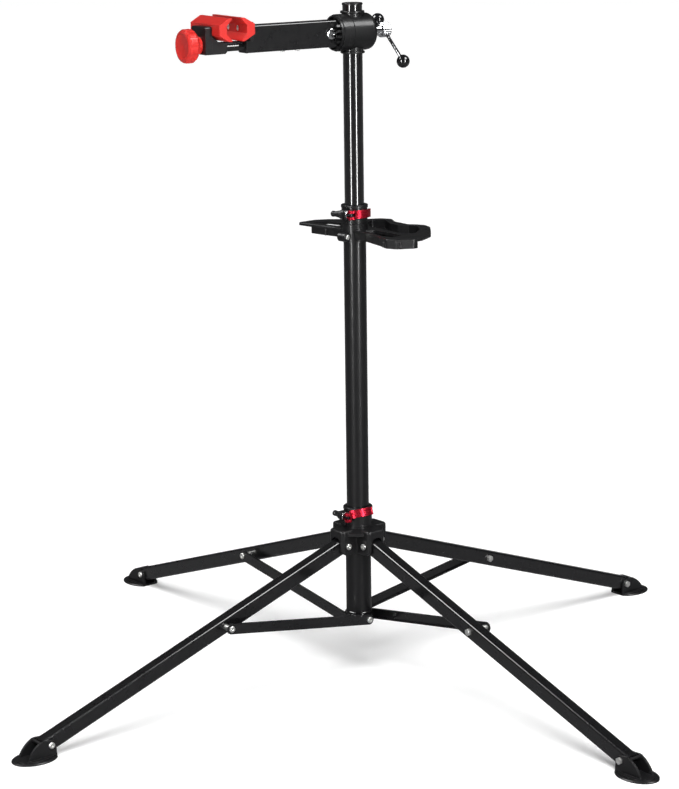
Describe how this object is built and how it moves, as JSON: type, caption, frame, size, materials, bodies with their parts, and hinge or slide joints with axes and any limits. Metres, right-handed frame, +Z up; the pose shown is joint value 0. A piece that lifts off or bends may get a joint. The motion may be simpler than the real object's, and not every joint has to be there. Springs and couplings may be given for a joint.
{
  "type": "bike repair stand",
  "caption": "Folding bike repair stand: a telescoping pole on a cross of braced legs, a tool tray, and a rotating arm with a screw-closed V-jaw clamp.",
  "frame": {"origin": "on the floor, under the pole's axis, midway between the four feet", "axes": "+Z up along the pole; the clamp arm points along -X and the T-handle along +X; -Y is the working side"},
  "size_m": [1.2892, 1.2892, 1.056],
  "materials": {
    "gloss_black_paint": "gloss black powder coat",
    "satin_black_paint": "satin black powder coat",
    "black_plastic": "fine moulded grain",
    "zinc_steel": "bright zinc",
    "black_oxide": "black oxide, lightly oiled",
    "chrome": "polished",
    "black_ball": "polished phenolic",
    "red_anodised": "satin red",
    "red_plastic": "smooth moulded red",
    "nut_brass": "machined"
  },
  "bodies": {
    "mast": {"main_tube": "gloss_black_paint", "tube_end_plug": "black_plastic", "strut_collar": "satin_black_paint", "collar_bolts": "zinc_steel", "collar_spacers": "black_plastic", "upper_collar": "black_plastic", "upper_cam_bolt": "zinc_steel", "upper_cam_washer": "chrome", "upper_adjuster": "black_plastic"},
    "hub": {"base_sleeve": "satin_black_paint", "leg_hub": "black_plastic", "leg_pivot_bolts": "zinc_steel", "lower_collar": "black_plastic", "lower_cam_bolt": "zinc_steel", "lower_cam_washer": "chrome", "lower_adjuster": "black_plastic"},
    "lower_lever": {"lower_lever": "red_anodised"},
    "upper_lever": {"upper_lever": "red_anodised"},
    "tray": {"tool_tray": "black_plastic", "tray_screw": "zinc_steel"},
    "guide": {"guide_bush": "black_plastic"},
    "upper_mast": {"upper_tube": "gloss_black_paint", "upper_tube_cap": "black_plastic", "head_body": "black_plastic"},
    "handle": {"handle_screw": "chrome"},
    "tommy_bar": {"tommy_bar": "chrome", "bar_balls": "black_ball"},
    "arm": {"arm_rotor": "black_plastic", "arm_tube": "satin_black_paint", "arm_bolt": "chrome", "arm_screws": "zinc_steel", "nut_block": "nut_brass", "jaw_bracket": "black_plastic", "fixed_jaw": "red_plastic", "jaw_screws": "zinc_steel"},
    "carriage": {"carriage": "black_plastic", "guide_bar": "satin_black_paint", "moving_jaw": "red_plastic"},
    "knob": {"lead_screw": "black_oxide", "clamp_knob": "red_plastic"},
    "front_left_leg": {"front_left_leg": "satin_black_paint", "front_left_leg_bolts": "zinc_steel", "front_left_foot": "black_plastic"},
    "front_left_strut": {"front_left_strut": "satin_black_paint", "front_left_strut_bolt": "zinc_steel"},
    "front_right_leg": {"front_right_leg": "satin_black_paint", "front_right_leg_bolts": "zinc_steel", "front_right_foot": "black_plastic"},
    "front_right_strut": {"front_right_strut": "satin_black_paint", "front_right_strut_bolt": "zinc_steel"},
    "rear_right_leg": {"rear_right_leg": "satin_black_paint", "rear_right_leg_bolts": "zinc_steel", "rear_right_foot": "black_plastic"},
    "rear_right_strut": {"rear_right_strut": "satin_black_paint", "rear_right_strut_bolt": "zinc_steel"},
    "rear_left_leg": {"rear_left_leg": "satin_black_paint", "rear_left_leg_bolts": "zinc_steel", "rear_left_foot": "black_plastic"},
    "rear_left_strut": {"rear_left_strut": "satin_black_paint", "rear_left_strut_bolt": "zinc_steel"}
  },
  "joints": [
    {"name": "hub_slide", "type": "slide", "parent": "mast", "child": "hub", "axis": [0, 0, 1], "range_m": [0, 0.3969]},
    {"name": "front_left_leg_hinge", "type": "hinge", "parent": "hub", "child": "front_left_leg", "pos_m": [-0.03321, -0.00437, 0.211], "axis": [0.1305, -0.9914, 0], "range_deg": [0, 67.45]},
    {"name": "front_left_strut_hinge", "type": "hinge", "parent": "mast", "child": "front_left_strut", "pos_m": [0, 0, 0.086], "axis": [-0.1305, 0.9914, 0], "range_deg": [0, 70.5]},
    {"name": "front_right_leg_hinge", "type": "hinge", "parent": "hub", "child": "front_right_leg", "pos_m": [0.00437, -0.03321, 0.211], "axis": [0.9914, 0.1305, 0], "range_deg": [0, 67.45]},
    {"name": "front_right_strut_hinge", "type": "hinge", "parent": "mast", "child": "front_right_strut", "pos_m": [0, 0, 0.086], "axis": [-0.9914, -0.1305, 0], "range_deg": [0, 70.5]},
    {"name": "rear_right_leg_hinge", "type": "hinge", "parent": "hub", "child": "rear_right_leg", "pos_m": [0.03321, 0.00437, 0.211], "axis": [-0.1305, 0.9914, 0], "range_deg": [0, 67.45]},
    {"name": "rear_right_strut_hinge", "type": "hinge", "parent": "mast", "child": "rear_right_strut", "pos_m": [0, 0, 0.086], "axis": [0.1305, -0.9914, 0], "range_deg": [0, 70.5]},
    {"name": "rear_left_leg_hinge", "type": "hinge", "parent": "hub", "child": "rear_left_leg", "pos_m": [-0.00437, 0.03321, 0.211], "axis": [-0.9914, -0.1305, 0], "range_deg": [0, 67.45]},
    {"name": "rear_left_strut_hinge", "type": "hinge", "parent": "mast", "child": "rear_left_strut", "pos_m": [0, 0, 0.086], "axis": [0.9914, 0.1305, 0], "range_deg": [0, 70.5]},
    {"name": "lower_lever_hinge", "type": "hinge", "parent": "hub", "child": "lower_lever", "pos_m": [-0.0265, -0.01385, 0.2555], "axis": [0, 0, -1], "range_deg": [0, 150]},
    {"name": "upper_lever_hinge", "type": "hinge", "parent": "mast", "child": "upper_lever", "pos_m": [-0.01773, -0.02138, 0.736], "axis": [0, 0, -1], "range_deg": [0, 150]},
    {"name": "tray_swivel", "type": "hinge", "parent": "mast", "child": "tray", "pos_m": [0, 0, 0.705], "axis": [0, 0, 1], "continuous": true},
    {"name": "height_slide", "type": "slide", "parent": "mast", "child": "guide", "axis": [0, 0, 1], "range_m": [-0.15, 0.25]},
    {"name": "head_swivel", "type": "hinge", "parent": "guide", "child": "upper_mast", "pos_m": [0, 0, 0.4], "axis": [0, 0, 1], "continuous": true},
    {"name": "arm_roll", "type": "hinge", "parent": "upper_mast", "child": "arm", "pos_m": [-0.02, 0, 1.012], "axis": [-1, 0, 0], "continuous": true},
    {"name": "handle_turn", "type": "hinge", "parent": "upper_mast", "child": "handle", "pos_m": [0.056, 0, 1.012], "axis": [1, 0, 0], "range_deg": [0, 540]},
    {"name": "bar_slide", "type": "slide", "parent": "handle", "child": "tommy_bar", "axis": [0, -0.7705, -0.6374], "range_m": [-0.0468, 0.0004]},
    {"name": "jaw_slide", "type": "slide", "parent": "arm", "child": "carriage", "axis": [-1, 0, 0], "range_m": [-0.0135, 0.033]},
    {"name": "knob_turn", "type": "hinge", "parent": "carriage", "child": "knob", "pos_m": [-0.27, 0, 1.007], "axis": [-1, 0, 0], "range_deg": [-1217, 2973]}
  ],
  "couplings": [
    {"joint": "front_left_leg_hinge", "follows": "hub_slide", "rad_per_m": 2.9529},
    {"joint": "front_left_strut_hinge", "follows": "hub_slide", "rad_per_m": 3.0869},
    {"joint": "front_right_leg_hinge", "follows": "hub_slide", "rad_per_m": 2.9529},
    {"joint": "front_right_strut_hinge", "follows": "hub_slide", "rad_per_m": 3.0869},
    {"joint": "rear_right_leg_hinge", "follows": "hub_slide", "rad_per_m": 2.9529},
    {"joint": "rear_right_strut_hinge", "follows": "hub_slide", "rad_per_m": 3.0869},
    {"joint": "rear_left_leg_hinge", "follows": "hub_slide", "rad_per_m": 2.9529},
    {"joint": "rear_left_strut_hinge", "follows": "hub_slide", "rad_per_m": 3.0869},
    {"joint": "knob_turn", "follows": "jaw_slide", "rad_per_m": 1570.8}
  ]
}
